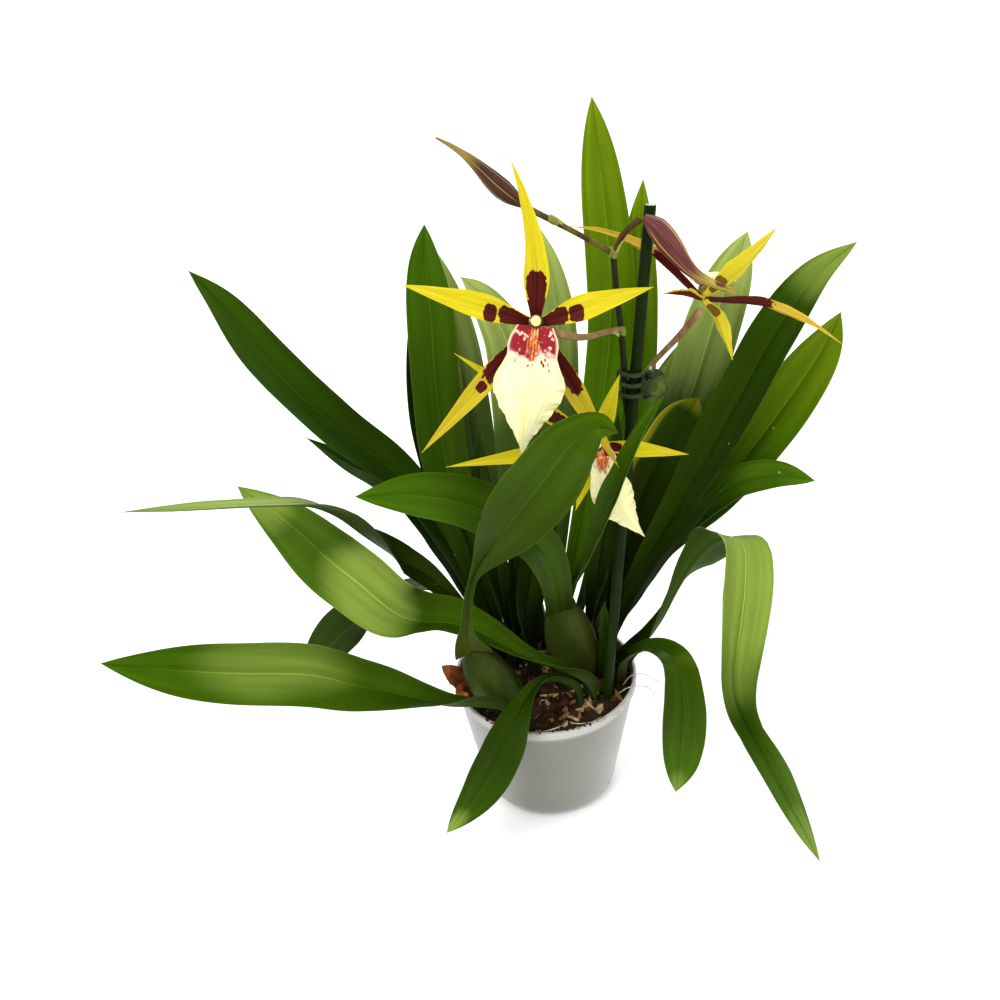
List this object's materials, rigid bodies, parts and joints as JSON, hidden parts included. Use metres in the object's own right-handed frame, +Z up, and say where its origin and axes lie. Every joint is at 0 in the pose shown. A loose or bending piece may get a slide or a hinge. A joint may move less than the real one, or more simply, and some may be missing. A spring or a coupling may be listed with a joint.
{
  "type": "potted brassidium orchid",
  "caption": "Potted orchid with strap leaves, flattened bulbs and a staked flower spike of star-shaped yellow blooms and buds, in a plain tapered plastic pot.",
  "frame": {"origin": "centre of the pot's underside, on the surface it stands on", "axes": "+Z up, -Y towards the front of the plant, where the near bloom faces, +X to the viewer's right"},
  "size_m": [0.4287, 0.1794, 0.4381],
  "materials": {
    "pot_plastic": "satin",
    "bark_mix": "rough",
    "root": "matt",
    "bulb_skin": "satin",
    "leaf": "satin",
    "leaf_deep": "satin",
    "leaf_pale": "satin",
    "dry_leaf": "papery",
    "stem_skin": "satin",
    "bud_skin": "satin",
    "tepal": "satin",
    "lip": "satin",
    "column": "satin",
    "coated_stake": "semi-gloss",
    "clip_plastic": "gloss"
  },
  "bodies": {
    "plant": {"pot": "pot_plastic", "substrate": "bark_mix", "rhizome_roots": "root", "stake": "coated_stake", "bulb_front": "bulb_skin", "bulb_left": "bulb_skin", "bulb_back_left": "bulb_skin", "bulb_back_right": "bulb_skin", "leaf_left_long": "leaf", "leaf_left_short": "leaf_deep", "leaf_left_strap": "leaf", "leaf_left_broad": "leaf", "leaf_left_low": "leaf", "leaf_left_under": "leaf_deep", "leaf_back_left": "leaf", "leaf_back_left_dark": "leaf_deep", "leaf_back_middle": "leaf_pale", "leaf_back_curved": "leaf_pale", "leaf_back_tall": "leaf_pale", "leaf_small_point": "leaf", "leaf_centre_tall": "leaf", "leaf_behind_stake": "leaf", "leaf_front_big": "leaf", "leaf_front_oval": "leaf", "leaf_front_folded": "leaf", "leaf_right_front": "leaf", "leaf_right_back": "leaf", "leaf_right_small": "leaf", "leaf_right_narrow": "leaf_deep", "leaf_right_bent": "leaf", "leaf_right_hanging": "leaf", "leaf_back_right": "leaf_pale", "leaf_back_right_short": "leaf_pale", "leaf_right_cupped": "leaf_deep", "leaf_inner_left": "leaf_deep", "leaf_inner_right": "leaf_deep", "leaf_apex_narrow": "leaf", "sheath_front": "leaf", "dry_sheath": "dry_leaf", "flower_spike": "stem_skin", "bud_left": "bud_skin", "bud_right": "bud_skin", "bloom_front_tepals": "tepal", "bloom_front_lip": "lip", "bloom_front_column": "column", "bloom_back_tepals": "tepal", "bloom_back_lip": "lip", "bloom_back_column": "column", "bloom_low_tepals": "tepal", "bloom_low_lip": "lip", "bloom_low_column": "column", "clip_jaw_back": "clip_plastic", "clip_pin": "clip_plastic"},
    "clip_jaw": {"clip_jaw_front": "clip_plastic"}
  },
  "joints": [
    {"name": "clip_hinge", "type": "hinge", "parent": "plant", "child": "clip_jaw", "pos_m": [0.06458, -0.00751, 0.2953], "axis": [0.0877, 0.078, 0.9931], "range_deg": [0, 28], "stiffness_Nm_per_rad": 0.02, "springref_deg": -20.05}
  ]
}
